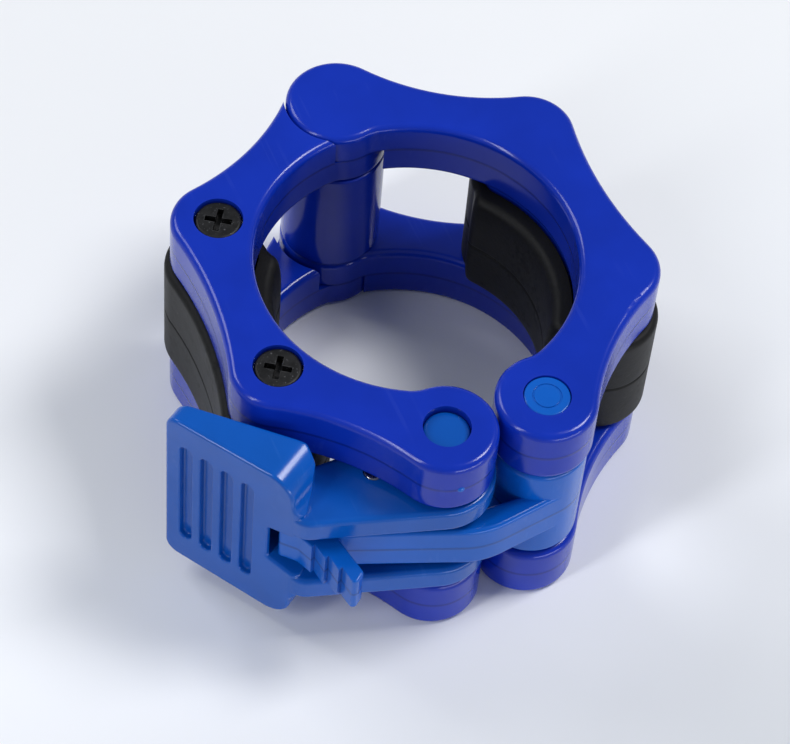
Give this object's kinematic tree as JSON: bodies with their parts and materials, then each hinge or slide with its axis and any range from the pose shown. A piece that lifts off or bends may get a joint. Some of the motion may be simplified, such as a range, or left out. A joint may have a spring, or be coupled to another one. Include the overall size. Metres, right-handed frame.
{
  "type": "barbell collar",
  "caption": "Clamping collar for a barbell sleeve: two hinged plastic jaws with rubber grips, drawn shut by an over-centre lever and link.",
  "frame": {"origin": "middle of the sleeve bore, at half the collar's height", "axes": "+Z along the sleeve bore, +Y towards the rear hinge, the latch at -Y, the lever jaw at -X"},
  "size_m": [0.0878, 0.0886, 0.047],
  "materials": {
    "jaw_plastic": "glossy moulded royal blue",
    "latch_plastic": "glossy moulded mid blue",
    "grip_rubber": "matt black moulded rubber",
    "black_screw": "black oxide steel",
    "steel_pin": "plain ground steel"
  },
  "bodies": {
    "lever_jaw": {"lever_jaw_frame": "jaw_plastic", "lever_jaw_side_plate": "jaw_plastic", "lever_jaw_screws": "black_screw", "lever_jaw_grip_pad": "grip_rubber", "hinge_pin": "steel_pin", "hinge_spacer": "jaw_plastic"},
    "link_jaw": {"link_jaw_frame": "jaw_plastic", "link_jaw_side_plate": "jaw_plastic", "link_jaw_screws": "black_screw", "link_jaw_grip_pad": "grip_rubber"},
    "lever": {"lever": "latch_plastic", "link_pin": "steel_pin"},
    "latch_link": {"latch_link": "latch_plastic"}
  },
  "joints": [
    {"name": "lever_swing", "type": "hinge", "parent": "lever_jaw", "child": "lever", "pos_m": [-0.00875, -0.03345, 0], "axis": [0, 0, 1], "range_deg": [0, 100]},
    {"name": "jaw_hinge", "type": "hinge", "parent": "lever_jaw", "child": "link_jaw", "pos_m": [0, 0.0352, 0], "axis": [0, 0, 1], "range_deg": [0, 4.1]},
    {"name": "link_swing", "type": "hinge", "parent": "link_jaw", "child": "latch_link", "pos_m": [0.00875, -0.03345, 0], "axis": [0, 0, 1], "range_deg": [0, 31]}
  ],
  "couplings": [
    {"joint": "jaw_hinge", "follows": "lever_swing", "ratio": 0.0402},
    {"joint": "link_swing", "follows": "lever_swing", "ratio": 0.308}
  ]
}
